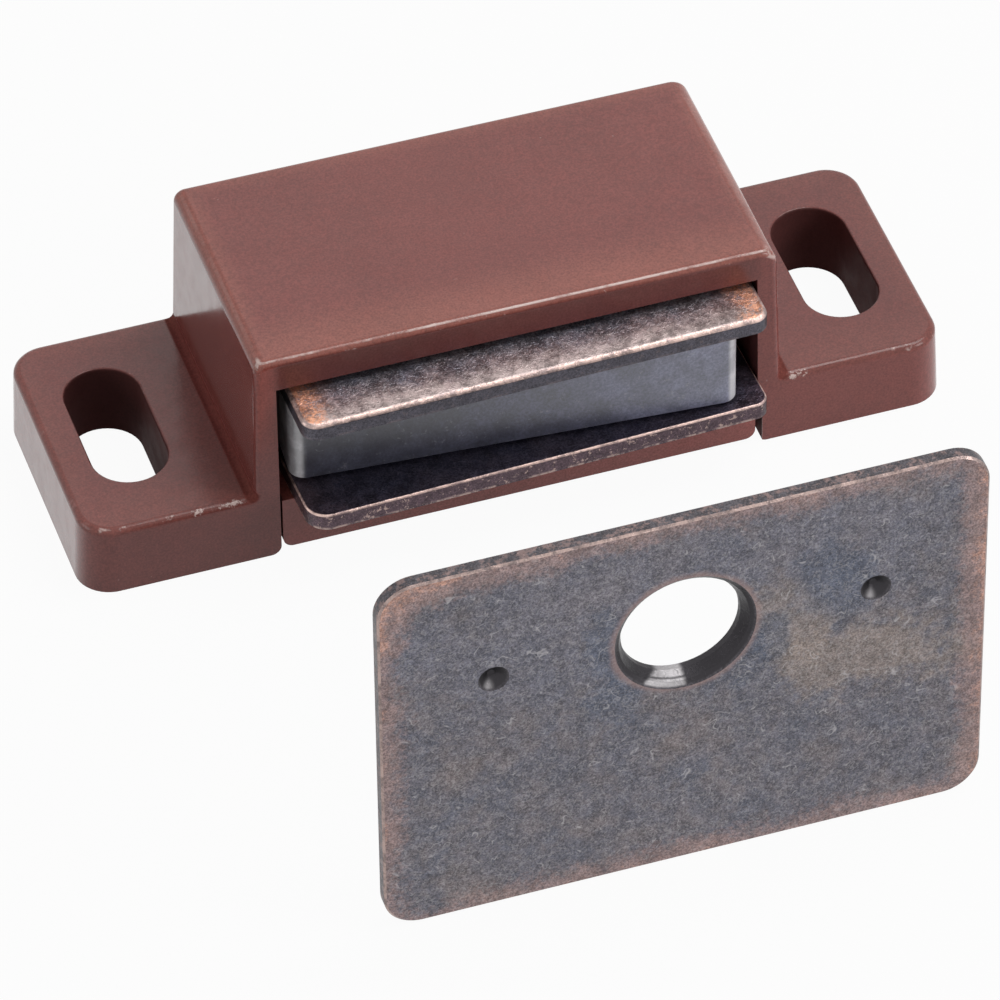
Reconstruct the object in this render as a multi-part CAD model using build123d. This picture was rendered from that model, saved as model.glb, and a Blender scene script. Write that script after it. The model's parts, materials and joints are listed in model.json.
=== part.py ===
from build123d import *
import os

# Magnetic catch for a cupboard door. A moulded housing screws to the carcass through
# two slotted ears. Inside it a pack of two steel pole plates, with a ferrite magnet
# between them, swivels on two short pegs so that the pole ends meet the strike square.
# A cover snaps into the housing from below. The strike plate screws to the door.
#
# Sizes in mm. +X runs along the ears, the pole ends face -Y, and +Z points up from the
# mounting face at z = 0. The origin lies midway between the two screw slots.

os.makedirs("parts", exist_ok=True)

# Magnet pack
plate_width = 26.9
plate_depth = 15.0
plate_thick = 1.1
upper_left_r = 0.9  # corners at the pole end
upper_right_r = 0.9
lower_left_r = 1.3
lower_right_r = 0.8
plate_back_r = 1.0
upper_roll_r = 0.3  # rounded over by the blanking, round the upper face
lower_roll_r = 0.15
plate_edge_bevel = 0.06
plate_reach = 2.75  # pole ends ahead of the housing's front face
pack_shift = 0.16  # the pack sits this far to the right
upper_plate_turn = 0.9  # degrees about the pegs, as the pack has settled
lower_plate_turn = 1.9
magnet_end_inset = 0.75  # behind the plates' ends, each side, before its shift
magnet_shift = -0.29  # from the plates' middle
magnet_front_inset = 1.85  # behind the pole ends, at the middle
magnet_depth = 10.6
magnet_height = 5.5
magnet_corner_r = 0.9
magnet_edge_bevel = 0.2
magnet_turn = -4.15  # degrees; the magnet holds itself a little askew

# Pegs that the plates swivel on
peg_r = 1.5
peg_clearance = 0.08  # radial, peg to plate
peg_end_gap = 0.2  # peg end to the magnet's face

# Bottom cover
cover_foot_gap = 0.4  # above the mounting face
cover_height = 3.5
cover_wall = 1.1
cover_mouth_gap = 0.12  # to each pillar
cover_cavity_gap = 0.1  # to the cavity's walls
cover_corner_r = 0.6
cover_lift_gap = 0.05  # cover to the lower plate
cover_rib_thick = 0.9
cover_rib_spacing = 12.0
cover_rib_foot = 0.3  # ribs stop short of the skirt's lower edge
nib_out = 0.35
nib_height = 0.9
nib_length = 2.0
nib_pitch = 5.0
nib_rise = 1.0  # above the cover's lower edge
nib_gap = 0.12  # nib to its pocket, all round

# Housing
pack_side_gap = 0.45  # each side, plates to the mouth
mouth_lean = 0.1  # the right pillar leans in by this much at the lintel
cavity_step = 0.1  # cavity wider than the mouth, each side
pack_back_gap = 2.0
pack_roof_gap = 0.5  # upper plate to the lintel
lintel_thick = 2.05
roof_thick = 1.35
top_fall = 0.15  # the top is this much lower at its right end
side_wall = 1.3  # at the ears
left_draft = 0.25  # from the ears to the top
right_draft = 0.32
back_wall = 1.25
back_draft = 0.5
pillar_thick = 1.2  # front to back
pillar_foot_r = 0.6
relief_depth = 0.3  # in the right pillar, beside the lower plate
relief_top_z = 4.7
relief_lead = 1.3  # height over which the relief runs out
ear_reach = 9.7
ear_draft = 0.2  # each end, from the mounting face to the ear's top
ear_thick = 4.5
ear_corner_r = 2.0
slot_width = 4.3
slot_length = 9.4
slot_end_gap = 4.17  # slot's middle to the ear's end
slot_set_back = 0.26  # behind the middle of the ear
slot_edge_r = 0.15
left_shoulder_r = 0.7
right_shoulder_r = 1.1
crease_r = 0.35  # where the sides run into the ears
rim_r = 0.42
stop_rib_thick = 1.2  # two ribs on the back wall, above the cover
stop_rib_depth = 0.8
stop_rib_spacing = 16.0

# Strike plate, standing in front of the poles as the open door carries it
strike_width = 33.4
strike_height = 24.5
strike_thick = 0.9
strike_corner_r = 2.1
strike_edge_bevel = 0.12
strike_mouth_r = 3.9  # shallow countersink
strike_throat_r = 3.6  # where the steeper wall starts
strike_hole_r = 3.3
strike_mouth_depth = 0.25
strike_throat_depth = 0.85
strike_collar_height = 0.3  # pressed out of the back, round the hole
strike_collar_r = 4.0
strike_collar_foot_r = 4.4
strike_hole_rise = 4.3  # above the plate's middle
dimple_spacing = 21.0
dimple_r = 0.85
dimple_depth = 0.5
dimple_foot_r = 0.2
spike_r = 0.55  # raised on the back by each dimple
spike_tip_r = 0.1
spike_height = 0.7
strike_gap = 28.4  # housing's front face to the strike's back face
strike_shift = -0.62

overcut = 1.0  # cutters run this far past the faces they cut
root = 0.5  # pegs, ribs and nibs run this far into what carries them

# Heights, from the mounting face up
cover_top_z = cover_foot_gap + cover_height
lower_plate_z = cover_top_z + cover_lift_gap
magnet_z = lower_plate_z + plate_thick
upper_plate_z = magnet_z + magnet_height
mouth_top_z = upper_plate_z + plate_thick + pack_roof_gap
body_height = mouth_top_z + lintel_thick
cavity_top_z = body_height - roof_thick

# Widths, from the pack outwards
magnet_width = plate_width - 2 * magnet_end_inset
mouth_width = plate_width + 2 * pack_side_gap
cavity_width = mouth_width + 2 * cavity_step
body_foot_width = cavity_width + 2 * side_wall
ear_length = body_foot_width + 2 * ear_reach
slot_spacing = ear_length - 2 * slot_end_gap

# Depths, from the front face back
body_top_depth = plate_depth - plate_reach + pack_back_gap + back_wall
base_depth = body_top_depth + back_draft
front_y = -base_depth / 2 - slot_set_back
back_y = front_y + base_depth
pole_end_y = front_y - plate_reach
pivot_y = pole_end_y + plate_depth / 2
cavity_front_y = front_y + pillar_thick
cavity_back_y = front_y + body_top_depth - back_wall
cover_step_y = cavity_front_y + cover_cavity_gap
cover_back_y = cavity_back_y - cover_cavity_gap
cover_mouth_width = mouth_width - 2 * cover_mouth_gap
cover_width = cavity_width - 2 * cover_cavity_gap
nib_z = cover_foot_gap + nib_rise
nib_mid_y = (cover_step_y + cover_back_y) / 2
nib_places = [(side, nib_mid_y + end * nib_pitch / 2) for side in (-1, 1) for end in (-1, 1)]


def block(width, y0, y1, z0, z1, x=0.0):
    """A block centred on x, between two depths and two heights."""
    middle = Pos(x, (y0 + y1) / 2, (z0 + z1) / 2)
    return middle * Box(width, y1 - y0, z1 - z0)


def near(value, target):
    """True when two sizes agree."""
    return abs(value - target) < 0.01


def end_edges(solid):
    """The edges round a flat piece's lowest and highest faces."""
    faces = solid.faces().sort_by(Axis.Z)
    return faces[0].edges() + faces[-1].edges()


def side_profile():
    """The housing seen from the front: ears, creases, drafted sides and shoulders."""
    profile = make_face(
        Polyline(
            (-ear_length / 2 - ear_draft, 0),
            (ear_length / 2 + ear_draft, 0),
            (ear_length / 2, ear_thick),
            (body_foot_width / 2, ear_thick),
            (body_foot_width / 2 - right_draft, body_height - top_fall),
            (-body_foot_width / 2 + left_draft, body_height),
            (-body_foot_width / 2, ear_thick),
            (-ear_length / 2, ear_thick),
            close=True,
        )
    )
    creases = [v for v in profile.vertices() if near(abs(v.X), body_foot_width / 2)]
    profile = fillet(creases, crease_r)
    left_x = -body_foot_width / 2 + left_draft
    right_x = body_foot_width / 2 - right_draft
    for x, shoulder_r in ((left_x, left_shoulder_r), (right_x, right_shoulder_r)):
        profile = fillet([v for v in profile.vertices() if near(v.X, x)], shoulder_r)
    return profile


def back_cutter():
    """The wedge that drafts the body's back face above the ears."""
    slope = back_draft / (body_height - ear_thick)
    profile = make_face(
        Polyline(
            (back_y, ear_thick),
            (back_y + overcut, ear_thick),
            (back_y + overcut, body_height + overcut),
            (back_y - back_draft - slope * overcut, body_height + overcut),
            close=True,
        )
    )
    return extrude(Plane.YZ * profile, ear_length, both=True)


def housing_rims(shell):
    """The edges round the ears' tops and round the body's front and back faces."""
    front = [f for f in shell.faces().filter_by(Axis.Y) if near(f.center().Y, front_y)][0]
    corner_x = (ear_length + ear_draft) / 2 - ear_corner_r
    rims = []
    for edge in front.edges():
        middle = edge.center()
        if not near(middle.Z, 0) and not near(abs(middle.X), corner_x):
            rims.append(edge)
    for edge in shell.edges():
        middle = edge.center()
        on_ear = near(middle.Z, ear_thick) and abs(middle.X) > body_foot_width / 2 + crease_r
        on_front = near(middle.Y, front_y)
        on_back = middle.Z > ear_thick + 0.05 and middle.Y > back_y - back_draft - 0.05
        if on_back or (on_ear and not on_front):
            rims.append(edge)
    return rims


def mouth_cutter():
    """The front opening, flared round the pillars' feet."""
    gap = make_face(
        Polyline(
            (-mouth_width / 2, -overcut),
            (mouth_width / 2 + relief_depth, -overcut),
            (mouth_width / 2 + relief_depth, relief_top_z - relief_lead),
            (mouth_width / 2, relief_top_z),
            (mouth_width / 2 - mouth_lean, mouth_top_z),
            (-mouth_width / 2, mouth_top_z),
            close=True,
        )
    )
    for side in (-1, 1):
        foot_x = side * (mouth_width + pillar_foot_r) / 2
        foot = Pos(foot_x, pillar_foot_r / 2) * Rectangle(pillar_foot_r, pillar_foot_r)
        round_x = side * (mouth_width / 2 + pillar_foot_r)
        gap = gap + (foot - Pos(round_x, pillar_foot_r) * Circle(pillar_foot_r))
    return Pos(0, cavity_front_y, 0) * extrude(Plane.XZ * gap, pillar_thick + overcut)


def cut_slots(shell):
    """The two screw slots, running front to back, with eased top edges."""
    for side in (-1, 1):
        slot = Rot(0, 0, 90) * SlotOverall(slot_length, slot_width)
        cutter = extrude(slot, ear_thick + 2 * overcut)
        shell = shell - Pos(side * slot_spacing / 2, 0, -overcut) * cutter
    rims = []
    for edge in shell.edges():
        middle = edge.center()
        across = abs(abs(middle.X) - slot_spacing / 2)
        in_slot = across < slot_width / 2 + 0.01 and abs(middle.Y) < slot_length / 2
        if near(middle.Z, ear_thick) and in_slot:
            rims.append(edge)
    return fillet(rims, slot_edge_r)


def build_housing():
    """One moulding, open below and in front, with the upper peg under its roof."""
    shell = Pos(0, back_y, 0) * extrude(Plane.XZ * side_profile(), base_depth)
    ends = [e for e in shell.edges() if near(abs(e.center().X), (ear_length + ear_draft) / 2)]
    corners = [e for e in ends if near(e.center().Z, ear_thick / 2)]
    shell = fillet(corners, ear_corner_r)
    shell = shell - back_cutter()
    shell = fillet(housing_rims(shell), rim_r)
    shell = cut_slots(shell)
    shell = shell - block(cavity_width, cavity_front_y, cavity_back_y, -overcut, cavity_top_z)
    shell = shell - mouth_cutter()

    rib_z = cover_top_z + cover_cavity_gap
    for side in (-1, 1):
        shell = shell + block(
            stop_rib_thick,
            cavity_back_y - stop_rib_depth,
            cavity_back_y + root,
            rib_z,
            cavity_top_z + root,
            side * stop_rib_spacing / 2,
        )
    pocket_depth = nib_out + nib_gap - cover_cavity_gap
    for side, y in nib_places:
        shell = shell - block(
            2 * pocket_depth,
            y - nib_length / 2 - nib_gap,
            y + nib_length / 2 + nib_gap,
            nib_z - nib_gap,
            nib_z + nib_height + nib_gap,
            side * cavity_width / 2,
        )
    peg_z = upper_plate_z + peg_end_gap
    peg = Pos(pack_shift, pivot_y, peg_z) * extrude(Circle(peg_r), cavity_top_z + root - peg_z)
    return shell + peg


def build_bottom_cover():
    """A shallow tray, open underneath, with the lower peg on top and a nib at each
    corner that snaps into the housing's side walls."""
    tongue = block(
        cover_mouth_width, front_y, cover_step_y + overcut, cover_foot_gap, cover_top_z
    )
    lower_edges = [
        e for e in tongue.edges().filter_by(Axis.Y) if near(e.center().Z, cover_foot_gap)
    ]
    tongue = fillet(lower_edges, cover_corner_r)
    tray = tongue + block(
        cover_width, cover_step_y, cover_back_y, cover_foot_gap, cover_top_z
    )
    tray = tray - block(
        cover_mouth_width - 2 * cover_wall,
        front_y + cover_wall,
        cover_back_y - cover_wall,
        cover_foot_gap - overcut,
        cover_top_z - cover_wall,
    )
    for side in (-1, 1):
        tray = tray + block(
            cover_rib_thick,
            front_y + cover_wall / 2,
            cover_back_y - cover_wall / 2,
            cover_foot_gap + cover_rib_foot,
            cover_top_z - cover_wall / 2,
            side * cover_rib_spacing / 2,
        )
    peg_z = cover_top_z - root
    peg_top_z = magnet_z - peg_end_gap
    tray = tray + Pos(pack_shift, pivot_y, peg_z) * extrude(Circle(peg_r), peg_top_z - peg_z)
    for side, y in nib_places:
        wedge = make_face(
            Polyline(
                (side * (cover_width / 2 - root), nib_z),
                (side * (cover_width / 2 + nib_out), nib_z),
                (side * cover_width / 2, nib_z + nib_height),
                (side * (cover_width / 2 - root), nib_z + nib_height),
                close=True,
            )
        )
        tray = tray + Pos(0, y, 0) * extrude(Plane.XZ * wedge, nib_length / 2, both=True)
    return tray


def build_pole_plate(left_r, right_r, roll_r, z, turn):
    """A blanked steel plate with a peg hole, turned about the peg as it has settled."""
    blank = Rectangle(plate_width, plate_depth)
    blank = fillet([v for v in blank.vertices() if v.Y > 0], plate_back_r)
    for side, corner_r in ((-1, left_r), (1, right_r)):
        front = [v for v in blank.vertices() if near(v.Y, -plate_depth / 2)]
        blank = fillet([v for v in front if near(v.X, side * plate_width / 2)], corner_r)
    plate = extrude(blank, plate_thick)
    plate = fillet(plate.faces().sort_by(Axis.Z)[-1].edges(), roll_r)
    plate = chamfer(plate.faces().sort_by(Axis.Z)[0].edges(), plate_edge_bevel)
    hole = extrude(Circle(peg_r + peg_clearance), plate_thick + 2 * overcut)
    plate = plate - Pos(0, 0, -overcut) * hole
    return Pos(pack_shift, pivot_y, z) * Rot(0, 0, turn) * plate


def build_magnet():
    """The pressed ferrite block that the two plates cling to."""
    ferrite = Box(magnet_width, magnet_depth, magnet_height)
    ferrite = fillet(ferrite.edges().filter_by(Axis.Z), magnet_corner_r)
    ferrite = chamfer(end_edges(ferrite), magnet_edge_bevel)
    middle_y = pole_end_y + magnet_front_inset + magnet_depth / 2
    place = Pos(pack_shift + magnet_shift, middle_y, magnet_z + magnet_height / 2)
    return place * Rot(0, 0, magnet_turn) * ferrite


def build_strike():
    """Pressed sheet with a countersunk hole, and a punched spike each side of it."""
    outline = fillet(Rectangle(strike_width, strike_height).vertices(), strike_corner_r)
    sheet = extrude(outline, strike_thick)
    sheet = chamfer(end_edges(sheet), strike_edge_bevel)
    collar_z = -strike_collar_height
    half_collar = make_face(
        Polyline(
            (0, strike_thick / 2),
            (strike_collar_foot_r, strike_thick / 2),
            (strike_collar_foot_r, 0),
            (strike_collar_r, collar_z),
            (0, collar_z),
            close=True,
        )
    )
    half_hole = make_face(
        Polyline(
            (0, strike_thick + overcut),
            (strike_mouth_r, strike_thick + overcut),
            (strike_mouth_r, strike_thick),
            (strike_throat_r, strike_thick - strike_mouth_depth),
            (strike_hole_r, strike_thick - strike_throat_depth),
            (strike_hole_r, collar_z - overcut),
            (0, collar_z - overcut),
            close=True,
        )
    )
    collar = revolve(Plane.XZ * half_collar, Axis.Z)
    hole = revolve(Plane.XZ * half_hole, Axis.Z)
    sheet = sheet + Pos(0, strike_hole_rise, 0) * collar
    sheet = sheet - Pos(0, strike_hole_rise, 0) * hole
    for side in (-1, 1):
        x = side * dimple_spacing / 2
        dimple = Cone(dimple_foot_r, dimple_r, dimple_depth)
        spike = Cone(spike_tip_r, spike_r, spike_height)
        sheet = sheet - Pos(x, strike_hole_rise, strike_thick - dimple_depth / 2) * dimple
        sheet = sheet + Pos(x, strike_hole_rise, -spike_height / 2) * spike
    stand = Pos(strike_shift, front_y - strike_gap, strike_height / 2) * Rot(90, 0, 0)
    return stand * sheet


pieces = {
    "housing": build_housing(),
    "bottom_cover": build_bottom_cover(),
    "upper_pole_plate": build_pole_plate(
        upper_left_r, upper_right_r, upper_roll_r, upper_plate_z, upper_plate_turn
    ),
    "lower_pole_plate": build_pole_plate(
        lower_left_r, lower_right_r, lower_roll_r, lower_plate_z, lower_plate_turn
    ),
    "magnet": build_magnet(),
    "strike_plate": build_strike(),
}
for name, piece in pieces.items():
    piece.label = name
    export_step(piece, f"parts/{name}.step")
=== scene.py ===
import json
import math
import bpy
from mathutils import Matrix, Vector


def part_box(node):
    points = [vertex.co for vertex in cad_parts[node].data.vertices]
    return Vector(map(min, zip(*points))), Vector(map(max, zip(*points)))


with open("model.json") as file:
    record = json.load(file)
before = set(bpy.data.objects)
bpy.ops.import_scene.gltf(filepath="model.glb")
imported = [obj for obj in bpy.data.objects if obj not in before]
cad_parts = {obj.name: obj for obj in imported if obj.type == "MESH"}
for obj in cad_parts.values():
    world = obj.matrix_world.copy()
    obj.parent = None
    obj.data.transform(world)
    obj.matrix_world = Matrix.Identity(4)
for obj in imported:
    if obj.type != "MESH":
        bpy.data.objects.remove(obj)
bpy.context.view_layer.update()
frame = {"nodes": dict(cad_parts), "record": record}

from types import SimpleNamespace

import bpy
import numpy as np
from bpy.props import FloatProperty, FloatVectorProperty, PointerProperty
from bpy.types import Operator, Panel, PropertyGroup
from mathutils import Matrix, Vector

bl_info = {
    "name": "Magnetic catch",
    "version": (1, 0, 0),
    "blender": (4, 5, 0),
    "location": "3D View > Sidebar > Magnetic catch",
    "description": "Finishes the mouldings, pole plates, magnet and strike of a magnetic catch",
    "category": "Object",
}

MM = 0.001

# The pieces' boxes, and what the record says of the screw slots and the strike's hole.
HOUSING_LOW, HOUSING_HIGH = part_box("housing")
MAGNET_LOW, MAGNET_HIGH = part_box("magnet")
STRIKE_LOW, STRIKE_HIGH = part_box("strike_plate")
MOUNTS = {mount["name"]: mount for mount in frame["record"]["mounts"]}
SLOT_X = MOUNTS["screw_slot_right"]["pos_m"][0]
SLOT_R = MOUNTS["screw_slot_right"]["dims"]["hole_r_mm"] * MM
SLOT_LENGTH = MOUNTS["screw_slot_right"]["dims"]["slot_length_mm"] * MM
STRIKE_HOLE = Vector(MOUNTS["strike_hole"]["pos_m"])

# Sizes of the pieces that their finishes follow, from the middle plane or the base.
EAR_TOP = 4.5 * MM
EAR_END = 25.0 * MM
BODY_SIDE = 15.2 * MM
MOUTH_SIDE = 14.0 * MM
MOUTH_TOP = 12.2 * MM
PLATE_WIDTH = 26.9 * MM
PLATE_DEPTH = 15.0 * MM
PLATE_CORNER_R = 1.0 * MM
STRIKE_CORNER_R = 2.1 * MM
STRIKE_HOLE_R = 3.9 * MM
DIMPLE_R = 0.85 * MM
DIMPLE_SPACING = 21.0 * MM

# Clouds in the strike's finish: tint, middle from the hole's axis and reach in
# millimetres, lean in degrees, strength.
STRIKE_CLOUDS = (
    ("steel", (-1.0, 3.2), (19.0, 6.5), 0.0, 0.55),
    ("olive", (10.5, -4.6), (7.5, 3.0), -12.0, 0.6),
    ("olive", (6.0, -1.0), (2.2, 4.2), 35.0, 0.5),
    ("blue", (-4.4, 0.8), (2.0, 3.0), 0.0, 0.5),
    ("blue", (-3.7, -3.9), (2.4, 1.8), 0.0, 0.5),
    ("blue", (4.6, -1.9), (1.3, 2.2), 0.0, 0.6),
    ("blue", (8.5, 1.2), (2.4, 3.4), 17.19, 0.5),
)

# Painted highlights as pale glints on the front edges of the ears, beside the body, in
# millimetres: middle, with its depth counted from the housing's front, and reach.
PAINTED_GLINTS = (
    ((-16.6, 0.15, 4.4), (1.1, 0.3, 0.22)),
    ((-18.6, 0.15, 4.4), (0.5, 0.25, 0.2)),
    ((16.1, 0.1, 4.3), (0.8, 0.3, 0.3)),
)

# Softboxes: name, place, point that they face, side in metres, power in watts.
LAMPS = (
    ("overhead", (0.16, -0.02, 0.36), (0, 0, 0), 0.22, 0.72),
    ("near_right", (0.13, -0.11, 0.09), (0.01, -0.01, 0.006), 0.06, 0.07),
    ("left", (-0.30, 0.02, 0.10), (0, 0, 0.005), 0.15, 0.12),
    ("behind", (0.13, 0.36, 0.33), (0, 0, 0), 0.25, 0.1),
)

# The sensor's width in millimetres, the floor's own colour, and how white it looks.
SENSOR_WIDTH = 36.0
FLOOR_GREY = (0.6, 0.6, 0.6, 1.0)
FLOOR_WHITE = 0.95

# Colour factors: no change, and the painted warm light through the left pillar.
UNCHANGED = (1.0, 1.0, 1.0)
PAINTED_PILLAR_GLOW = (1.65, 1.2, 1.0)


# ---------------------------------------------------------------- settings


class StageSettings(PropertyGroup):
    """The floor, the lamps and the camera."""

    azimuth: FloatProperty(
        name="Azimuth",
        description="Camera's turn about the upright axis, from straight in front",
        default=math.radians(-17.82),
        subtype="ANGLE",
        unit="ROTATION",
    )
    elevation: FloatProperty(
        name="Elevation",
        description="Camera's height above the horizon",
        default=math.radians(43.245),
        subtype="ANGLE",
        unit="ROTATION",
    )
    roll: FloatProperty(
        name="Roll",
        description="Camera's lean to one side",
        default=math.radians(-0.775),
        subtype="ANGLE",
        unit="ROTATION",
    )
    distance: FloatProperty(
        name="Distance",
        description="Camera to the point that it looks at",
        default=0.47414,
        unit="LENGTH",
    )
    aim: FloatVectorProperty(
        name="Aim",
        description="Point that the camera looks at",
        default=(-0.003786, -0.016208, 0.008),
        subtype="TRANSLATION",
        unit="LENGTH",
    )
    lens: FloatProperty(
        name="Focal length",
        description="Focal length on a 36 mm sensor, in millimetres",
        default=315.1,
    )
    floor_size: FloatProperty(
        name="Floor size",
        description="Side of the square floor",
        default=3.0,
        unit="LENGTH",
    )
    world_level: FloatProperty(
        name="Room light",
        description="Strength of the even light from the room",
        default=0.32,
    )


class MouldingSettings(PropertyGroup):
    """The reddish-brown moulded plastic."""

    colour: FloatVectorProperty(
        name="Plastic",
        description="Colour of the plastic",
        default=(0.212, 0.058, 0.050),
        subtype="COLOR",
        min=0,
        max=1,
    )
    roughness: FloatProperty(
        name="Roughness",
        description="Roughness of the moulded skin",
        default=0.2,
        min=0,
        max=1,
    )
    # Colour of the pale scuffs and specks, and of the painted highlights along the roof's front
    # edge and beside the ears' creases.
    scuff_and_highlight: FloatVectorProperty(
        name="Scuffs",
        description="Colour of the plastic where it is scuffed",
        default=(0.68, 0.52, 0.48),
        subtype="COLOR",
        min=0,
        max=1,
    )
    # Painted light: the colour that light passing through the plastic gives near its outline.
    outline: FloatVectorProperty(
        name="Outline",
        description="Colour of the plastic near its outline, where light passes through",
        default=(0.36, 0.125, 0.092),
        subtype="COLOR",
        min=0,
        max=1,
    )
    # Strength of that painted light near the outline.
    glow: FloatProperty(
        name="Glow",
        description="How far the plastic takes the outline's colour there",
        default=0.55,
        min=0,
        max=1,
    )
    # Painted shade on the walls of the screw slots and the mouth.
    painted_wall_shade: FloatVectorProperty(
        name="Dirt",
        description="Colour of the screw slots' walls",
        default=(0.050, 0.022, 0.022),
        subtype="COLOR",
        min=0,
        max=1,
    )


class CopperSettings(PropertyGroup):
    """The antique copper finish on the steel plates."""

    patina: FloatVectorProperty(
        name="Patina",
        description="Blue-grey of the darkened finish",
        default=(0.140, 0.135, 0.158),
        subtype="COLOR",
        min=0,
        max=1,
    )
    brown: FloatVectorProperty(
        name="Brown patina",
        description="Brown clouds in the darkened finish",
        default=(0.225, 0.185, 0.175),
        subtype="COLOR",
        min=0,
        max=1,
    )
    steel: FloatVectorProperty(
        name="Steel patina",
        description="Paler blue-grey of the strike's upper half",
        default=(0.155, 0.155, 0.190),
        subtype="COLOR",
        min=0,
        max=1,
    )
    blue: FloatVectorProperty(
        name="Blue patina",
        description="Darkest, bluest patches of the finish",
        default=(0.090, 0.110, 0.155),
        subtype="COLOR",
        min=0,
        max=1,
    )
    olive: FloatVectorProperty(
        name="Olive patina",
        description="Palest, brownest patch of the finish",
        default=(0.290, 0.235, 0.205),
        subtype="COLOR",
        min=0,
        max=1,
    )
    # Also the colour of the painted glints in the strike's hole and dimples.
    fibre_and_glint: FloatVectorProperty(
        name="Fibres",
        description="Fine pale scratches all over the finish",
        default=(0.52, 0.50, 0.51),
        subtype="COLOR",
        min=0,
        max=1,
    )
    worn: FloatVectorProperty(
        name="Worn finish",
        description="Pinkish band where the finish has thinned",
        default=(0.34, 0.23, 0.21),
        subtype="COLOR",
        min=0,
        max=1,
    )
    bright: FloatVectorProperty(
        name="Bright edge",
        description="Bare metal on the sharp edges",
        default=(0.74, 0.54, 0.48),
        subtype="COLOR",
        min=0,
        max=1,
    )
    cream: FloatVectorProperty(
        name="Cream finish",
        description="Palest finish, along the front of the upper pole plate",
        default=(0.56, 0.47, 0.45),
        subtype="COLOR",
        min=0,
        max=1,
    )
    raw: FloatVectorProperty(
        name="Raw copper",
        description="Copper grains at the ends of the upper pole plate",
        default=(0.92, 0.44, 0.27),
        subtype="COLOR",
        min=0,
        max=1,
    )
    # Also the painted shade on the walls of the strike's hole and dimples.
    sheared: FloatVectorProperty(
        name="Sheared edge",
        description="Dark metal of the sheared edges and the pressed hollows",
        default=(0.075, 0.070, 0.078),
        subtype="COLOR",
        min=0,
        max=1,
    )
    copper: FloatVectorProperty(
        name="Copper",
        description="Copper where the finish is rubbed through",
        default=(0.62, 0.335, 0.24),
        subtype="COLOR",
        min=0,
        max=1,
    )


class FerriteSettings(PropertyGroup):
    """The sintered magnet."""

    colour: FloatVectorProperty(
        name="Ferrite",
        description="Colour of the ferrite",
        default=(0.060, 0.062, 0.090),
        subtype="COLOR",
        min=0,
        max=1,
    )
    # Colour of the painted sheen on the magnet's upright edges, also given to its specks.
    painted_sheen_and_specks: FloatVectorProperty(
        name="Rubbed ferrite",
        description="Colour of the ferrite's rubbed edges",
        default=(0.82, 0.81, 0.84),
        subtype="COLOR",
        min=0,
        max=1,
    )


# ---------------------------------------------------------------- node graphs


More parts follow.
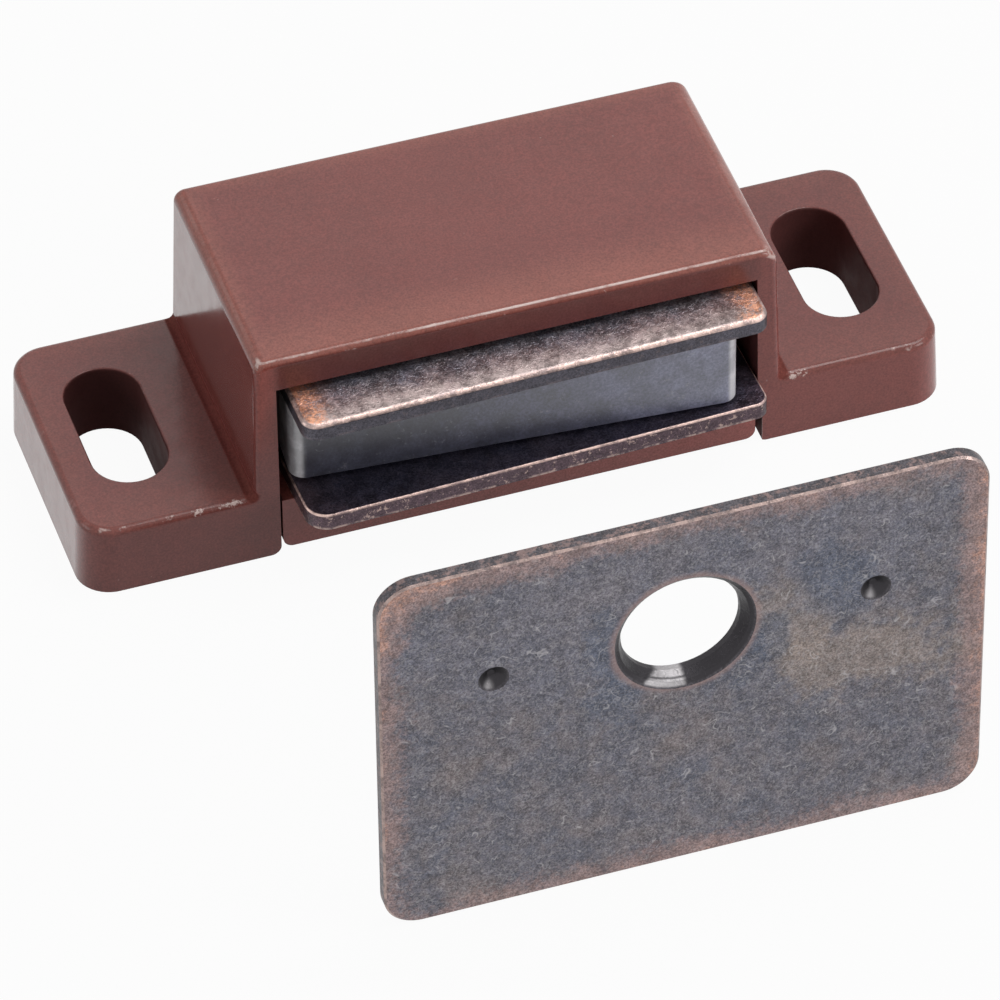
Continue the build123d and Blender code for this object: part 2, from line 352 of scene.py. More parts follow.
class Graph:
    """One material's node tree, with a short method for each kind of node used here."""

    def __init__(self, name):
        self.material = bpy.data.materials.new(name)
        self.material.use_nodes = True
        self.tree = self.material.node_tree
        self.shader = self.tree.nodes["Principled BSDF"]
        coords = self.add("ShaderNodeTexCoord")
        self.place = coords.outputs["Object"]
        self.normal = coords.outputs["Normal"]

    def add(self, kind, inputs=None, **settings):
        """Adds a node, with its own settings and what feeds its inputs."""
        node = self.tree.nodes.new(kind)
        for key, value in settings.items():
            setattr(node, key, value)
        for key, value in (inputs or {}).items():
            self.feed(node.inputs[key], value)
        return node

    def feed(self, socket, value):
        """Links another node's output to a socket, or sets the socket to a value."""
        if isinstance(value, bpy.types.NodeSocket):
            self.tree.links.new(value, socket)
        elif socket.type == "RGBA" and len(value) == 3:
            socket.default_value = (*value, 1.0)
        else:
            socket.default_value = value

    def set(self, **inputs):
        """Feeds the shader's own sockets."""
        for key, value in inputs.items():
            self.feed(self.shader.inputs[key.replace("_", " ")], value)

    def math(self, operation, a, b=0.0, c=0.0):
        node = self.add("ShaderNodeMath", {0: a, 1: b, 2: c}, operation=operation)
        return node.outputs[0]

    def chain(self, operation, values):
        """One operation over any number of values, from the first to the last."""
        total, *others = values
        for value in others:
            total = self.math(operation, total, value)
        return total

    def plus(self, *values):
        return self.chain("ADD", values)

    def minus(self, a, b):
        return self.math("SUBTRACT", a, b)

    def times(self, *values):
        return self.chain("MULTIPLY", values)

    def scaled(self, a, factor, start):
        """A value times a factor, plus a start."""
        return self.math("MULTIPLY_ADD", a, factor, start)

    def largest(self, *values):
        return self.chain("MAXIMUM", values)

    def smallest(self, *values):
        return self.chain("MINIMUM", values)

    def absolute(self, a):
        """A value without its sign."""
        return self.math("ABSOLUTE", a)

    def without(self, mask):
        """1 where a mask is 0, and 0 where it is 1."""
        return self.math("SUBTRACT", 1.0, mask)

    def vector(self, operation, a, b=(0, 0, 0)):
        node = self.add("ShaderNodeVectorMath", {0: a, 1: b}, operation=operation)
        return node.outputs["Vector"]

    def length(self, a):
        return self.add("ShaderNodeVectorMath", {0: a}, operation="LENGTH").outputs["Value"]

    def split(self, a):
        return self.add("ShaderNodeSeparateXYZ", {0: a}).outputs

    def point(self, x, y):
        """Two numbers as a point at height zero."""
        return self.add("ShaderNodeCombineXYZ", {0: x, 1: y}).outputs[0]

    def turn(self, a, centre, angle):
        """Coordinates about a centre, turned back by an angle about Z."""
        moved = self.vector("SUBTRACT", a, centre)
        inputs = {"Vector": moved, "Angle": -angle}
        return self.add("ShaderNodeVectorRotate", inputs, rotation_type="Z_AXIS").outputs[0]

    def noise(self, scale, detail, roughness, place=None, distortion=0.0):
        inputs = {
            "Vector": place or self.place,
            "Scale": scale,
            "Detail": detail,
            "Roughness": roughness,
            "Distortion": distortion,
        }
        return self.add("ShaderNodeTexNoise", inputs).outputs["Fac"]

    def smooth(self, value, start, end, low=0.0, high=1.0):
        """A smooth step from low to high while value goes from start to end."""
        inputs = {0: value, 1: start, 2: end, 3: low, 4: high}
        node = self.add("ShaderNodeMapRange", inputs, interpolation_type="SMOOTHSTEP")
        return node.outputs[0]

    def fade(self, value, start, end):
        """A smooth step from 1 to 0."""
        return self.smooth(value, start, end, 1.0, 0.0)

    def mix(self, factor, a, b):
        """A colour from a to b."""
        inputs = {0: factor, 6: a, 7: b}
        return self.add("ShaderNodeMix", inputs, data_type="RGBA").outputs[2]

    def blend(self, factor, a, b):
        """A plain number from a to b."""
        return self.add("ShaderNodeMix", {0: factor, 2: a, 3: b}).outputs[0]

    def shade(self, colour, factor):
        """A colour made lighter or darker by a factor."""
        node = self.add("ShaderNodeVectorMath", {0: colour, "Scale": factor}, operation="SCALE")
        return node.outputs["Vector"]

    def on_edge(self, axis):
        """1 on the edges round the faces that look along an axis, where the normal leans
        away from it without lying square to it."""
        along = self.absolute(self.split(self.normal)[axis])
        return self.times(self.fade(along, 0.92, 0.985), self.smooth(along, 0.15, 0.35))

    def bump(self, height, depth, strength):
        inputs = {"Height": height, "Distance": depth, "Strength": strength}
        return self.add("ShaderNodeBump", inputs).outputs["Normal"]

    def hairlines(self, scale, width, seed, rarity=0.5):
        """Short curved scratches: where one noise crosses its middle value, kept only
        where a second noise is high."""
        shifted = self.vector("ADD", self.place, (seed, 2 * seed, -seed))
        wander = self.noise(scale, 1.0, 0.5, shifted, 0.5)
        line = self.fade(self.absolute(self.minus(wander, 0.5)), 0.0, width)
        elsewhere = self.vector("ADD", shifted, (0.7, 0.7, 0.7))
        kept = self.smooth(self.noise(scale * 1.1, 2.0, 0.6, elsewhere), rarity, rarity + 0.08)
        return self.times(line, kept)

    def patch(self, place, centre, reach, lean, ragged):
        """A ragged oval, from 1 in its middle to 0 at its outline."""
        moved = self.turn(place, centre, lean)
        shape = self.length(self.vector("DIVIDE", moved, reach))
        return self.fade(self.plus(shape, ragged), 0.55, 1.05)


def rounded_edge_distance(g, flat_place, half_width, half_height, corner_r):
    """Distance in from the outline of a rounded rectangle centred on the origin in X and
    Y: the usual signed distance, from how far a point lies past the inner rectangle that
    the corner arcs are centred on."""
    inner = (half_width - corner_r, half_height - corner_r, 0)
    past = g.vector("SUBTRACT", g.vector("ABSOLUTE", flat_place), inner)
    outside = g.length(g.vector("MAXIMUM", past, (0, 0, 0)))
    x, y, _ = g.split(past)
    inside = g.smallest(g.largest(x, y), 0.0)
    return g.times(g.minus(g.plus(outside, inside), corner_r), -1.0)


# ---------------------------------------------------------------- moulded plastic


def housing_place(g):
    """Where a point of the mouldings lies and which way its surface looks."""
    x, y, z = g.split(g.place)
    normal_x, _, normal_z = g.split(g.normal)
    return SimpleNamespace(
        x=x,
        y=y,
        z=z,
        off_middle=g.absolute(x),
        to_front=g.minus(y, HOUSING_LOW.y),
        to_back=g.minus(HOUSING_HIGH.y, y),
        on_ears=g.fade(z, EAR_TOP + 0.3 * MM, EAR_TOP + 0.5 * MM),
        normal_z=normal_z,
        sideways=g.absolute(normal_x),
        up=g.smooth(normal_z, 0.1, 0.5),
    )


def painted_outline_glow(g, at, strength):
    """Painted light, full along the outline of the faces that look up, and gone 2 mm in.
    It reaches further in from the front, and is weaker on the ears."""
    to_side = g.minus(g.blend(at.on_ears, BODY_SIDE, EAR_END), at.off_middle)
    to_outline = g.smallest(to_side, g.smallest(at.to_back, g.times(at.to_front, 0.45)))
    glow = g.smooth(to_outline, 0.1 * MM, 2.0 * MM, strength, 0.0)
    return g.times(glow, at.up, g.blend(at.on_ears, 1.0, 0.35))


def tone_and_painted_light(g, at, painted_lightness):
    """How light the plastic is: cloudy and grainy, with painted light making it lighter to the
    right on the upright faces, and painted shade making it darker to the right on the ears
    and dark on the thin lintel over the mouth."""
    clouds = g.smooth(g.noise(160.0, 2.0, 0.5), 0.3, 0.7, 0.95, 1.05)
    mottle = g.smooth(g.noise(2600.0, 3.0, 0.7), 0.3, 0.7, 0.93, 1.07)
    grain = g.smooth(g.noise(7500.0, 2.0, 0.7), 0.25, 0.75, 0.78, 1.22)
    # Painted shade on the thin lintel over the mouth.
    thin = g.times(
        g.fade(at.off_middle, MOUTH_SIDE - 0.4 * MM, MOUTH_SIDE + 0.2 * MM),
        g.smooth(at.z, MOUTH_TOP - 0.2 * MM, MOUTH_TOP),
        g.fade(at.to_front, 1.5 * MM, 2.5 * MM),
        g.without(at.up),
    )
    # Painted light: lighter to the right on the upright faces; painted shade: darker to the
    # right on the ears.
    upright = g.smooth(at.x, -20.0 * MM, 20.0 * MM, 0.9, 1.2)
    ears = g.smooth(at.x, -20.0 * MM, 20.0 * MM, 0.87, 0.80)
    painted_light_end_to_end = g.blend(at.up, upright, g.blend(at.on_ears, 1.0, ears))
    return g.times(clouds, mottle, grain, g.scaled(thin, -0.28, painted_lightness), painted_light_end_to_end)


def painted_pillar_glow(g, at):
    """Where painted warm light falls: 1 on the upper front of the left pillar, and less on the
    side wall beside it.
    """
    return g.times(
        g.fade(at.x, -14.8 * MM, -13.2 * MM),
        g.smooth(at.z, 6.0 * MM, 11.0 * MM),
        g.without(at.up),
        g.smooth(at.sideways, 0.5, 0.9, 1.0, 0.25),
        g.fade(at.to_front, 1.0 * MM, 5.0 * MM),
    )


def ear_creases(g, at):
    """1 in the creases where the ears meet the body's side walls."""
    across = g.minus(at.off_middle, BODY_SIDE + 0.25 * MM)
    above = g.minus(at.z, EAR_TOP + 0.1 * MM)
    return g.fade(g.length(g.point(across, above)), 0.28 * MM, 0.45 * MM)


def slot_walls(g, at):
    """1 on the walls of the screw slots, by the distance from each slot's middle line."""
    across = g.absolute(g.minus(at.off_middle, SLOT_X))
    past_line = g.largest(g.minus(g.absolute(at.y), SLOT_LENGTH / 2 - SLOT_R), 0.0)
    radius = g.length(g.point(across, past_line))
    return g.fade(radius, SLOT_R + 0.02 * MM, SLOT_R + 0.10 * MM)


def mouth_walls(g, at):
    """1 on the side walls inside the mouth."""
    return g.times(
        g.fade(g.absolute(g.minus(at.off_middle, MOUTH_SIDE)), 0.28 * MM, 0.33 * MM),
        g.smooth(at.to_front, 0.02 * MM, 0.06 * MM),
        g.smooth(at.to_back, 1.3 * MM, 1.5 * MM),
        g.fade(at.z, MOUTH_TOP - 0.1 * MM, MOUTH_TOP + 0.1 * MM),
    )


def scuffs_and_painted_highlights(g, at, crease):
    """Pale scuffs on the edges of the faces that look up, most along the front and none in
    the creases, with a painted highlight as a thin broken line along the roof's front
    edge, and painted highlights as ragged glints on the ears."""
    on_front = g.smooth(at.to_front, 0.5 * MM, 1.0 * MM, 1.0, 0.12)
    scuffs = g.times(
        g.smooth(g.noise(520.0, 4.0, 0.7), 0.58, 0.66, 0.0, 0.8),
        g.on_edge(2),
        on_front,
        g.without(crease),
    )
    # Painted highlight: a thin broken line along the roof's front edge.
    line = g.times(
        g.smooth(at.normal_z, 0.74, 0.82),
        g.fade(at.normal_z, 0.90, 0.96),
        g.smooth(g.noise(300.0, 5.0, 0.75), 0.40, 0.58, 0.06, 0.95),
        g.smooth(at.z, 12.5 * MM, 13.0 * MM),
        on_front,
    )
    wear = g.largest(scuffs, line)
    ragged = g.times(g.minus(g.noise(1700.0, 5.0, 0.8), 0.42), 5.0)
    # Painted highlights: pale glints on the ears' front edges beside the body.
    for (x, inset, z), reach in PAINTED_GLINTS:
        centre = (x * MM, HOUSING_LOW.y + inset * MM, z * MM)
        wear = g.largest(wear, g.patch(g.place, centre, Vector(reach) * MM, 0.0, ragged))
    return wear


def moulding_material(name, settings, painted_lightness):
    """Reddish-brown moulded plastic, a little see-through, with a fine grain and a glossy
    skin. Painted light makes it paler and redder near its outline and on the left pillar.
    Specks and scuffs are pale, and painted highlights run along the roof's front edge and
    beside the ears' creases. The walls of the screw slots and the mouth are dull and
    darkened with painted shade, the creases are dull and a little darkened with painted
    shade, and a thin coat polishes the side walls."""
    g = Graph(name)
    at = housing_place(g)
    crease, slots, mouth = ear_creases(g, at), slot_walls(g, at), mouth_walls(g, at)

    # Painted light: a paler, redder glow along the outline of the faces that look up.
    colour = g.mix(painted_outline_glow(g, at, settings.glow), settings.colour, settings.outline)
    # The plastic's own clouds and grain, with painted light and shade across it.
    colour = g.shade(colour, tone_and_painted_light(g, at, painted_lightness))
    # Painted warm light through the left pillar.
    colour = g.vector("MULTIPLY", colour, g.mix(painted_pillar_glow(g, at), UNCHANGED, PAINTED_PILLAR_GLOW))
    specks = g.smooth(g.noise(1500.0, 2.0, 0.7), 0.76, 0.82, 0.0, 0.45)
    # Pale specks and scuffs, with the painted highlights.
    wear = g.largest(specks, scuffs_and_painted_highlights(g, at, crease))
    colour = g.mix(wear, colour, settings.scuff_and_highlight)
    # Painted shade on the walls of the screw slots and the mouth.
    colour = g.mix(g.times(g.largest(slots, mouth), 0.8), colour, settings.painted_wall_shade)
    # Painted shade in the ears' creases.
    colour = g.shade(colour, g.scaled(crease, -0.12, 1.0))

    dull = g.largest(slots, mouth, crease)
    polished = g.smooth(at.sideways, 0.8, 0.95, 0.0, 0.3)
    low, high = settings.roughness * 0.8, settings.roughness * 1.25
    rough = g.smooth(g.noise(900.0, 3.0, 0.6), 0.3, 0.7, low, high)
    ripple = g.times(g.noise(420.0, 1.0, 0.5), 4.0)
    g.set(
        Base_Color=colour,
        Roughness=g.scaled(dull, 0.4, rough),
        IOR=1.42,
        Specular_IOR_Level=g.scaled(dull, -0.46, 0.5),
        Normal=g.bump(g.plus(g.noise(3600.0, 3.0, 0.65), ripple), 0.008 * MM, 0.6),
        Coat_Weight=g.times(polished, g.without(dull)),
        Coat_Roughness=0.12,
    )
    return g.material


# ---------------------------------------------------------------- antique copper


def patina(g, settings, rim, flat, seed, wear, reach, patches=()):
    """Antique copper on steel. rim is the distance in from the piece's outline and flat
    is 1 on its broad faces and 0 on its sheared edges. Blue-grey and brown clouds carry
    a fine grain and pale fibres, and copper shows where the outline is rubbed, in the
    share wear and widened by reach. Gives the colour, the mottle and the fibres."""
    away = g.vector("ADD", g.place, (seed, seed, seed))
    clouds = g.noise(170.0, 5.0, 0.62, away)
    blues = g.noise(230.0, 4.0, 0.6, g.vector("ADD", away, (0.3, 0.1, 0.2)))
    mottle = g.noise(1150.0, 5.0, 0.72, away)
    hues = g.noise(620.0, 4.0, 0.7, g.vector("ADD", away, (0.5, 0.4, 0.3)))
    grain = g.noise(8500.0, 2.0, 0.8, away)
    colour = g.mix(g.smooth(clouds, 0.50, 0.66, 0.0, 0.45), settings.patina, settings.brown)
    colour = g.mix(g.smooth(blues, 0.56, 0.70, 0.0, 0.35), colour, settings.blue)
    colour = g.mix(g.smooth(hues, 0.50, 0.62, 0.0, 0.24), colour, settings.brown)
    colour = g.mix(g.smooth(hues, 0.38, 0.48, 0.20, 0.0), colour, settings.blue)
    for mask, tint in patches:
        colour = g.mix(mask, colour, tint)
    level = g.times(
        g.smooth(mottle, 0.34, 0.66, 0.78, 1.22),
        g.smooth(grain, 0.30, 0.70, 0.60, 1.40),
    )
    colour = g.shade(colour, level)

    fibres = g.largest(g.hairlines(2600.0, 0.07, seed), g.hairlines(4300.0, 0.11, seed + 0.2))
    colour = g.mix(g.times(fibres, 0.28), colour, settings.fibre_and_glint)
    hairs = g.hairlines(900.0, 0.022, seed + 0.4, 0.56)
    colour = g.mix(g.times(hairs, 0.55), colour, settings.fibre_and_glint)

    wander = g.times(g.minus(g.noise(330.0, 4.0, 0.7, away), 0.5), 3.4 * MM)
    streaks = g.times(g.minus(g.noise(3800.0, 3.0, 0.8, away), 0.5), 3.0 * MM)
    worn_in = g.math("DIVIDE", g.plus(rim, wander, streaks), reach)
    pink = g.times(g.smooth(worn_in, 0.1 * MM, 1.7 * MM, 0.7, 0.0), flat, wear)
    colour = g.mix(pink, colour, g.shade(settings.worn, level))
    bright = g.times(g.smooth(worn_in, -1.3 * MM, 0.0, 0.7, 0.0), flat, wear)
    colour = g.mix(bright, colour, g.shade(settings.copper, level))
    colour = g.mix(flat, g.shade(settings.sheared, level), colour)
    return colour, mottle, fibres


def finish_metal(g, colour, mottle, fibres):
    """Feeds a patina to the shader, with the grain and the fibres as fine relief."""
    relief = g.plus(g.noise(5200.0, 3.0, 0.65), g.times(fibres, 0.8))
    g.set(
        Base_Color=colour,
        Metallic=0.85,
        Roughness=g.smooth(mottle, 0.3, 0.7, 0.32, 0.50),
        Normal=g.bump(relief, 0.02 * MM, 0.6),
    )


def hollow_walls(g, from_hole):
    """1 on the walls of the strike's hole and of its two dimples."""
    soft = 0.05 * MM
    walls = g.fade(g.length(from_hole), STRIKE_HOLE_R - soft, STRIKE_HOLE_R + soft)
    for side in (-1, 1):
        axis = (side * DIMPLE_SPACING / 2, 0.0, 0.0)
        radius = g.length(g.vector("SUBTRACT", from_hole, axis))
        walls = g.largest(walls, g.fade(radius, DIMPLE_R - soft, DIMPLE_R + soft))
    return walls


def painted_hollow_glints(g, from_hole, depth, ragged):
    """Painted highlights low in the hollows: a painted reflection patch in the hole, with a
    dark line across it, and a soft spot in each dimple."""
    along, up, _ = g.split(from_hole)
    off_shine = g.scaled(ragged, 0.08 * MM, g.absolute(g.plus(along, 1.1 * MM)))
    off_line = g.absolute(g.minus(depth, 0.42 * MM))
    glint = g.times(
        g.fade(off_shine, 1.0 * MM, 1.3 * MM),
        g.fade(up, -3.1 * MM, -2.9 * MM),
        g.smooth(off_line, 0.02 * MM, 0.10 * MM, 0.15, 0.62),
    )
    for side in (-1, 1):
        spot = (side * DIMPLE_SPACING / 2 - 0.28 * MM, -0.60 * MM, 0.0)
        off_spot = g.length(g.vector("SUBTRACT", from_hole, spot))
        glint = g.largest(glint, g.smooth(off_spot, 0.0, 0.45 * MM, 0.4, 0.0))
    return glint


def strike_material(settings):
    """The strike's finish: a steel cloud over its upper half, olive and blue ones about
    the hole, and copper round the outline, strongest at one corner and to the right. A
    worn ring lies round the hole, the sheared edges are flecked, and their arrises are
    bright and broken. The walls of the hole and of the dimples are darkened with painted
    shade, each with a painted glint low down."""
    g = Graph("strike_copper_finish")
    x, y, z = g.split(g.place)
    middle = (STRIKE_LOW + STRIKE_HIGH) / 2
    half_width = (STRIKE_HIGH.x - STRIKE_LOW.x) / 2
    half_height = (STRIKE_HIGH.z - STRIKE_LOW.z) / 2
    from_middle = g.vector("SUBTRACT", g.point(x, z), (middle.x, middle.z, 0.0))
    from_hole = g.vector("SUBTRACT", g.point(x, z), (STRIKE_HOLE.x, STRIKE_HOLE.z, 0.0))
    rim = rounded_edge_distance(g, from_middle, half_width, half_height, STRIKE_CORNER_R)
    depth = g.minus(y, STRIKE_LOW.y)
    normal_y = g.split(g.normal)[1]
    facing = g.absolute(normal_y)
    flat = g.smooth(facing, 0.90, 0.99)
    ragged = g.times(g.minus(g.noise(300.0, 6.0, 0.75), 0.5), 3.0)

    patches = []
    for tint, (across, up), (width, height), lean, strength in STRIKE_CLOUDS:
        centre = (across * MM, up * MM, 0.0)
        reach = (width * MM, height * MM, 1.0)
        cloud = g.patch(from_hole, centre, reach, math.radians(lean), ragged)
        patches.append((g.times(cloud, strength), getattr(settings, tint)))
    corner_reach = (5.5 * MM, 4.5 * MM, 1.0)
    corner = g.patch(from_middle, (-half_width, half_height, 0.0), corner_reach, 0.0, ragged)
    right = STRIKE_HIGH.x
    at_right = g.smooth(x, right - 2.5 * MM, right - 0.5 * MM, 0.0, 0.7 * MM)
    worn_rim = g.minus(rim, g.scaled(corner, 1.1 * MM, at_right))
    colour, mottle, fibres = patina(g, settings, worn_rim, flat, 0.0, 0.9, 1.0, patches)

    ring_radius = g.scaled(ragged, 0.35 * MM, g.length(from_hole))
    ring = g.smooth(ring_radius, STRIKE_HOLE_R, STRIKE_HOLE_R + 0.45 * MM, 0.6, 0.0)
    colour = g.mix(g.times(ring, flat), colour, settings.worn)
    flecks = g.smooth(g.noise(1900.0, 4.0, 0.8), 0.46, 0.62, 0.0, 0.5)
    colour = g.mix(g.times(flecks, g.fade(facing, 0.1, 0.3)), colour, settings.worn)
    arris = g.times(
        g.on_edge(1),
        g.fade(rim, 0.2 * MM, 0.4 * MM),
        g.smooth(g.noise(1300.0, 5.0, 0.8), 0.36, 0.62, 0.2, 0.6),
    )
    colour = g.mix(arris, colour, settings.bright)

    # Painted shade on the walls of the hole and dimples, with painted glints low down.
    sunk = g.times(g.smooth(depth, 0.03 * MM, 0.12 * MM), g.fade(normal_y, 0.05, 0.2))
    glint = painted_hollow_glints(g, from_hole, depth, ragged)
    dark = g.mix(glint, g.shade(settings.sheared, 0.6), settings.fibre_and_glint)
    colour = g.mix(g.times(hollow_walls(g, from_hole), sunk), colour, dark)
    finish_metal(g, colour, mottle, fibres)
    return g.material


def pole_plate_material(settings, node, turn, seed, wear, reach, lip, painted_face_shading, edge_tint):
    """The same finish on a pole plate, turned by its own angle and worn most at its ends,
    with bright broken arrises and a flecked sheared edge. The share lip gives it a cream
    band along its front and raw copper grains at its tips, and takes the flecks and the
    lower arris away. The face tint is painted light on the upper plate's broad faces and
    painted shade on the lower plate's, and the edge tint warms or lightens its sheared edge."""
    g = Graph(node + "_copper_finish")
    low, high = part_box(node)
    x, y, z = g.split(g.turn(g.place, tuple((low + high) / 2), turn))
    half_width, half_depth = PLATE_WIDTH / 2, PLATE_DEPTH / 2
    rim = rounded_edge_distance(g, g.point(x, y), half_width, half_depth, PLATE_CORNER_R)
    facing = g.absolute(g.split(g.normal)[2])
    flat = g.smooth(facing, 0.90, 0.99)
    to_side = g.absolute(x)
    ends = g.smooth(to_side, half_width - 4.0 * MM, half_width - 0.8 * MM)
    worn_rim = g.minus(rim, g.times(ends, 1.5 * MM))
    colour, mottle, fibres = patina(g, settings, worn_rim, flat, seed, wear, reach)
    # Painted light or shade on the broad faces, and the sheared edge's tint.
    colour = g.vector("MULTIPLY", colour, g.mix(flat, edge_tint, painted_face_shading))

    wander = g.times(g.minus(g.noise(900.0, 4.0, 0.75), 0.5), 3.0 * MM)
    to_front = g.plus(y, half_depth, wander)
    pale = g.times(g.smooth(to_front, 0.2 * MM, 2.2 * MM, lip, 0.0), flat)
    cream = g.shade(settings.cream, g.smooth(mottle, 0.35, 0.65, 0.5, 1.3))
    colour = g.mix(pale, colour, cream)

    flecks = g.smooth(g.noise(2600.0, 4.0, 0.8), 0.57, 0.64, 0.0, 0.7)
    below = g.smooth(z, -0.42 * MM, -0.30 * MM, 0.7, 0.0)
    flecks = g.largest(flecks, g.times(below, g.smooth(mottle, 0.44, 0.6)))
    flecks = g.times(flecks, g.smooth(facing, 0.1, 0.3, 1.0 - lip, 0.0))
    colour = g.mix(flecks, colour, g.shade(settings.bright, 0.75))

    rough_side = g.scaled(wander, 0.6, to_side)
    tips = g.smooth(rough_side, half_width - 2.1 * MM, half_width - 0.9 * MM, 0.0, lip)
    grains = g.times(g.smooth(g.noise(2300.0, 5.0, 0.85), 0.42, 0.54), tips, flat)
    raw = g.shade(settings.raw, g.smooth(g.noise(3400.0, 4.0, 0.85), 0.35, 0.65, 0.6, 1.4))
    colour = g.mix(grains, colour, raw)

    arris = g.times(
        g.on_edge(2),
        g.smooth(g.noise(1500.0, 4.0, 0.75), 0.36, 0.60, 0.35, 0.95),
        g.smooth(z, -0.3 * MM, 0.0, 1.0 - lip, 1.0),
    )
    colour = g.mix(arris, colour, settings.bright)
    finish_metal(g, colour, mottle, fibres)
    return g.material


# ---------------------------------------------------------------- ferrite


def ferrite_material(settings):
    """Sintered ferrite: dark grey, fine grained and a little specked, lighter to the right
    with painted light, and paler on its upright edges with a painted sheen."""
    g = Graph("ferrite")
    grain = g.noise(6500.0, 3.0, 0.65)
    clouds = g.noise(450.0, 5.0, 0.7)
    level = g.times(
        g.smooth(grain, 0.3, 0.7, 0.72, 1.35),
        g.smooth(clouds, 0.35, 0.65, 0.62, 1.3),
    )
    # Painted light: lighter towards the right end.
    painted_light_start = MAGNET_LOW.x + 0.2 * (MAGNET_HIGH.x - MAGNET_LOW.x)
    painted_light_to_right = g.smooth(g.split(g.place)[0], painted_light_start, MAGNET_HIGH.x, 0.8, 3.0)
    colour = g.shade(g.shade(settings.colour, level), painted_light_to_right)
    # Painted sheen on the upright edges.
    upright = g.smooth(g.absolute(g.split(g.normal)[0]), 0.15, 0.5)
    painted_sheen_and_specks = g.times(upright, g.smooth(clouds, 0.35, 0.6, 0.5, 0.95))
    specks = g.smooth(g.noise(2100.0, 3.0, 0.8), 0.60, 0.70, 0.0, 0.14)
    colour = g.mix(g.largest(painted_sheen_and_specks, specks), colour, settings.painted_sheen_and_specks)
    g.set(
        Base_Color=colour,
        Roughness=g.smooth(clouds, 0.3, 0.7, 0.36, 0.46),
        IOR=2.0,
        Normal=g.bump(grain, 0.03 * MM, 0.5),
    )
    return g.material


# ---------------------------------------------------------------- stage


def rays_that_see(tree):
    """1 for camera, glossy and transmission rays, and 0 for the rays that carry light."""
    path = tree.nodes.new("ShaderNodeLightPath")
    seen = path.outputs["Is Camera Ray"]
    for name in ("Is Glossy Ray", "Is Transmission Ray"):
        either = tree.nodes.new("ShaderNodeMath")
        either.operation = "MAXIMUM"
        tree.links.new(seen, either.inputs[0])
        tree.links.new(path.outputs[name], either.inputs[1])
        seen = either.outputs[0]
    return seen


def white_to_the_eye(material, level):
    """Adds white for camera, glossy and transmission rays, so that the backdrop stays
    pale and keeps a soft shadow, without adding light to the object."""
    tree = material.node_tree
    shader = tree.nodes["Principled BSDF"]
    output = tree.nodes["Material Output"]
    amount = tree.nodes.new("ShaderNodeMath")
    amount.operation = "MULTIPLY"
    amount.inputs[1].default_value = level
    tree.links.new(rays_that_see(tree), amount.inputs[0])
    glow = tree.nodes.new("ShaderNodeEmission")
    blend = tree.nodes.new("ShaderNodeMixShader")
    tree.links.new(amount.outputs[0], blend.inputs[0])
    tree.links.new(shader.outputs[0], blend.inputs[1])
    tree.links.new(glow.outputs[0], blend.inputs[2])
    tree.links.new(blend.outputs[0], output.inputs["Surface"])


def build_floor(settings):
    """A square floor: a grid of two parameters at height zero."""
    u = np.linspace(-0.5, 0.5, 2) * settings.floor_size
    x, y = np.meshgrid(u, u)
    points = np.stack([x, y, np.zeros_like(x)], axis=-1).reshape(-1, 3)
    mesh = bpy.data.meshes.new("floor")
    mesh.from_pydata(points.tolist(), [], [(0, 1, 3, 2)])
    floor = bpy.data.objects.new("floor", mesh)
    bpy.context.scene.collection.objects.link(floor)
    material = bpy.data.materials.new("pale_floor")
    material.use_nodes = True
    shader = material.node_tree.nodes["Principled BSDF"]
    shader.inputs["Base Color"].default_value = FLOOR_GREY
    shader.inputs["Roughness"].default_value = 0.9
    shader.inputs["Specular IOR Level"].default_value = 0.1
    white_to_the_eye(material, FLOOR_WHITE)
    mesh.materials.append(material)


def build_world(settings):
    """An even white room: a plain strength for light, and 1 where it is seen."""
    world = bpy.data.worlds.new("room")
    bpy.context.scene.world = world
    world.use_nodes = True
    tree = world.node_tree
    background = tree.nodes["Background"]
    background.inputs["Color"].default_value = (1.0, 1.0, 1.0, 1.0)
    strength = tree.nodes.new("ShaderNodeMapRange")
    strength.inputs["To Min"].default_value = settings.world_level
    strength.inputs["To Max"].default_value = 1.0
    tree.links.new(rays_that_see(tree), strength.inputs["Value"])
    tree.links.new(strength.outputs[0], background.inputs["Strength"])


def add_lamp(name, place, aim, size, power):
    """A square softbox at a place, pointing at aim."""
    data = bpy.data.lights.new(name, "AREA")
    data.size = size
    data.energy = power
    lamp = bpy.data.objects.new(name, data)
    lamp.location = place
    lamp.rotation_euler = (Vector(aim) - Vector(place)).to_track_quat("-Z", "Y").to_euler()
    bpy.context.scene.collection.objects.link(lamp)


def build_camera(settings):
    """A long lens at the given turn, height and lean, looking at the aim point."""
    turn, height, lean = settings.azimuth, settings.elevation, settings.roll
    outward = math.cos(height)
    back = Vector((math.sin(turn) * outward, -math.cos(turn) * outward, math.sin(height)))
    level = Vector((math.cos(turn), math.sin(turn), 0.0))
    up = back.cross(level)
    right = math.cos(lean) * level + math.sin(lean) * up
    up = back.cross(right)
    data = bpy.data.cameras.new("camera")
    data.sensor_width = SENSOR_WIDTH
    data.lens = settings.lens
    data.clip_start = 0.01
    camera = bpy.data.objects.new("camera", data)
    axes = Matrix((right, up, back)).transposed().to_4x4()
    place = Vector(settings.aim) + settings.distance * back
    camera.matrix_world = Matrix.Translation(place) @ axes
    bpy.context.scene.collection.objects.link(camera)
    bpy.context.scene.camera = camera


# ---------------------------------------------------------------- operators


def dress(node, material):
    """Gives a CAD node its finish."""
    slots = frame["nodes"][node].material_slots
    if not slots:
        frame["nodes"][node].data.materials.append(material)
    for slot in slots:
        slot.material = material


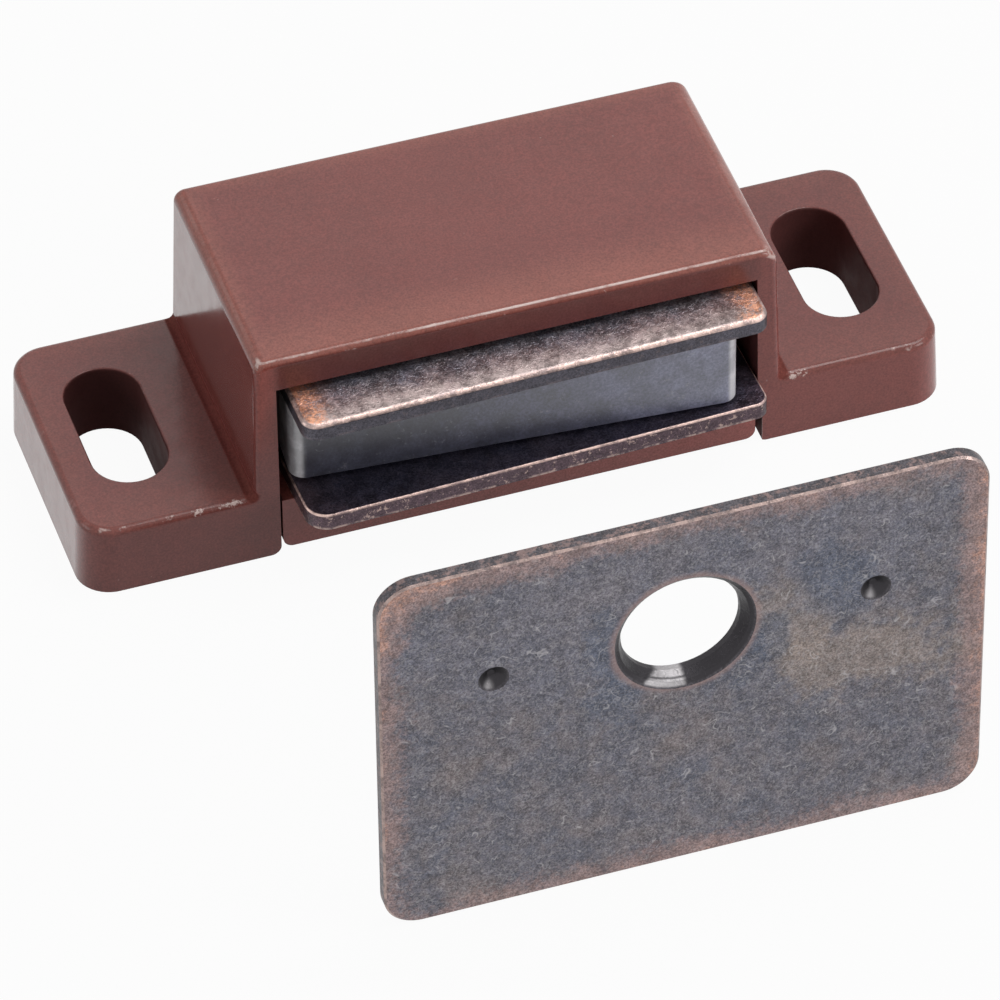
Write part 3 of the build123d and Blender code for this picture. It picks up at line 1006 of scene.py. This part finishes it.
class CATCH_OT_stage(Operator):
    """Lay the floor, hang the lamps and set up the camera"""

    bl_idname = "catch.stage"
    bl_label = "Set the stage"

    def execute(self, context):
        settings = context.scene.catch_stage
        build_camera(settings)
        build_floor(settings)
        build_world(settings)
        for name, place, aim, size, power in LAMPS:
            add_lamp(name, place, aim, size, power)
        context.scene.view_settings.view_transform = "Standard"
        return {"FINISHED"}


class CATCH_OT_mouldings(Operator):
    """Finish the housing and its bottom cover in brown plastic"""

    bl_idname = "catch.mouldings"
    bl_label = "Finish the mouldings"

    def execute(self, context):
        settings = context.scene.catch_moulding
        dress("housing", moulding_material("brown_housing", settings, painted_lightness=1.0))
        # Painted light: the cover is a copy of the housing's plastic, lightened by 1.3.
        dress("bottom_cover", moulding_material("brown_cover", settings, painted_lightness=1.3))
        return {"FINISHED"}


class CATCH_OT_pole_plates(Operator):
    """Finish the two pole plates in antique copper"""

    bl_idname = "catch.pole_plates"
    bl_label = "Finish the pole plates"

    def execute(self, context):
        settings = context.scene.catch_copper
        upper = pole_plate_material(
            settings,
            "upper_pole_plate",
            turn=math.radians(0.9),
            seed=0.7,
            wear=1.0,
            reach=1.8,
            lip=0.85,
            # Painted light: the upper plate's broad faces lightened.
            painted_face_shading=(1.42, 1.44, 1.52),
            edge_tint=(1.12, 1.13, 1.24),
        )
        lower = pole_plate_material(
            settings,
            "lower_pole_plate",
            turn=math.radians(1.9),
            seed=1.9,
            wear=0.2,
            reach=1.0,
            lip=0.0,
            # Painted shade: the lower plate's broad faces darkened.
            painted_face_shading=(0.34, 0.33, 0.44),
            edge_tint=(1.25, 0.90, 0.98),
        )
        dress("upper_pole_plate", upper)
        dress("lower_pole_plate", lower)
        return {"FINISHED"}


class CATCH_OT_magnet(Operator):
    """Finish the magnet in dark sintered ferrite"""

    bl_idname = "catch.magnet"
    bl_label = "Finish the magnet"

    def execute(self, context):
        dress("magnet", ferrite_material(context.scene.catch_ferrite))
        return {"FINISHED"}


class CATCH_OT_strike(Operator):
    """Finish the strike plate in antique copper"""

    bl_idname = "catch.strike"
    bl_label = "Finish the strike plate"

    def execute(self, context):
        dress("strike_plate", strike_material(context.scene.catch_copper))
        return {"FINISHED"}


class CATCH_PT_panel(Panel):
    """Lists the steps and their settings"""

    bl_idname = "CATCH_PT_panel"
    bl_label = "Magnetic catch"
    bl_space_type = "VIEW_3D"
    bl_region_type = "UI"
    bl_category = "Magnetic catch"

    def draw(self, context):
        for operator in STEPS:
            self.layout.operator(operator.bl_idname)
        for group in SETTINGS:
            owner = getattr(context.scene, group)
            for prop in owner.bl_rna.properties:
                if not prop.is_readonly and prop.identifier != "name":
                    self.layout.prop(owner, prop.identifier)


STEPS = (
    CATCH_OT_stage,
    CATCH_OT_mouldings,
    CATCH_OT_pole_plates,
    CATCH_OT_magnet,
    CATCH_OT_strike,
)
SETTINGS = {
    "catch_stage": StageSettings,
    "catch_moulding": MouldingSettings,
    "catch_copper": CopperSettings,
    "catch_ferrite": FerriteSettings,
}


def register():
    for cls in (*SETTINGS.values(), *STEPS, CATCH_PT_panel):
        bpy.utils.register_class(cls)
    for name, cls in SETTINGS.items():
        setattr(bpy.types.Scene, name, PointerProperty(type=cls))


def unregister():
    for name in SETTINGS:
        delattr(bpy.types.Scene, name)
    for cls in reversed((*SETTINGS.values(), *STEPS, CATCH_PT_panel)):
        bpy.utils.unregister_class(cls)


def main():
    """Registers the add-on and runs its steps."""
    register()
    bpy.ops.catch.stage()
    bpy.ops.catch.mouldings()
    bpy.ops.catch.pole_plates()
    bpy.ops.catch.magnet()
    bpy.ops.catch.strike()


if __name__ == "__main__":
    main()
